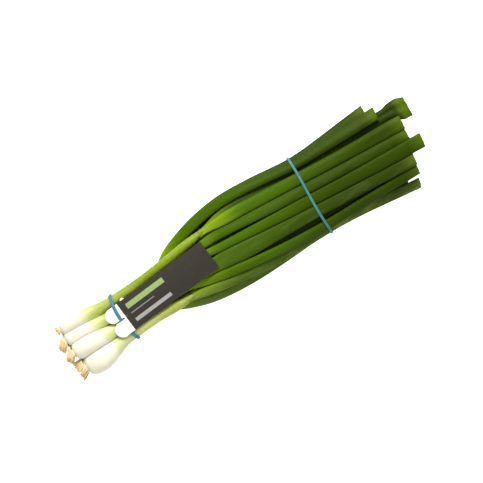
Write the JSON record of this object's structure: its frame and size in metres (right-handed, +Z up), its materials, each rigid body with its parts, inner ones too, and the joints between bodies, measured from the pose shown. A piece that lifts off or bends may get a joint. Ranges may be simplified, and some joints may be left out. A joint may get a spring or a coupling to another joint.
{
  "type": "spring onion bunch",
  "caption": "Bunch of spring onions lying flat, with pale bulbs, roots and green leaves, held by two rubber bands with a plain card tag.",
  "frame": {"origin": "middle of the bunch's footprint, on the surface that it lies on", "axes": "+X from the roots to the cut leaf ends, +Y to the bunch's left when seen from the roots, +Z up"},
  "size_m": [0.3402, 0.083, 0.026],
  "materials": {
    "stem": "smooth, waxy plant stem, ivory at the bulb and pale green above",
    "leaf": "smooth hollow leaf with fine lengthwise veins and a faint waxy bloom",
    "roots": "dry, matt root fibres",
    "band_lower": "matt blue rubber",
    "band_upper": "matt pale teal rubber",
    "tag": "satin printed card"
  },
  "bodies": {
    "root": {"onion_a_shank": "stem", "onion_a_roots": "roots", "onion_a_leaf_1": "leaf", "onion_a_leaf_2": "leaf", "onion_a_leaf_3": "leaf", "onion_b_shank": "stem", "onion_b_roots": "roots", "onion_b_leaf_1": "leaf", "onion_b_leaf_2": "leaf", "onion_b_leaf_3": "leaf", "onion_c_shank": "stem", "onion_c_roots": "roots", "onion_c_leaf_1": "leaf", "onion_c_leaf_2": "leaf", "onion_c_leaf_3": "leaf", "onion_d_shank": "stem", "onion_d_roots": "roots", "onion_d_leaf_1": "leaf", "onion_d_leaf_2": "leaf", "onion_d_leaf_3": "leaf", "onion_e_shank": "stem", "onion_e_roots": "roots", "onion_e_leaf_1": "leaf", "onion_e_leaf_2": "leaf", "onion_e_leaf_3": "leaf", "onion_e_leaf_4": "leaf", "onion_f_shank": "stem", "onion_f_roots": "roots", "onion_f_leaf_1": "leaf", "onion_f_leaf_2": "leaf", "onion_f_leaf_3": "leaf", "onion_f_leaf_4": "leaf", "onion_g_shank": "stem", "onion_g_roots": "roots", "onion_g_leaf_1": "leaf", "onion_g_leaf_2": "leaf", "onion_g_leaf_3": "leaf", "onion_g_leaf_4": "leaf", "band_lower": "band_lower", "band_upper": "band_upper", "label_tag": "tag"}
  },
  "joints": []
}
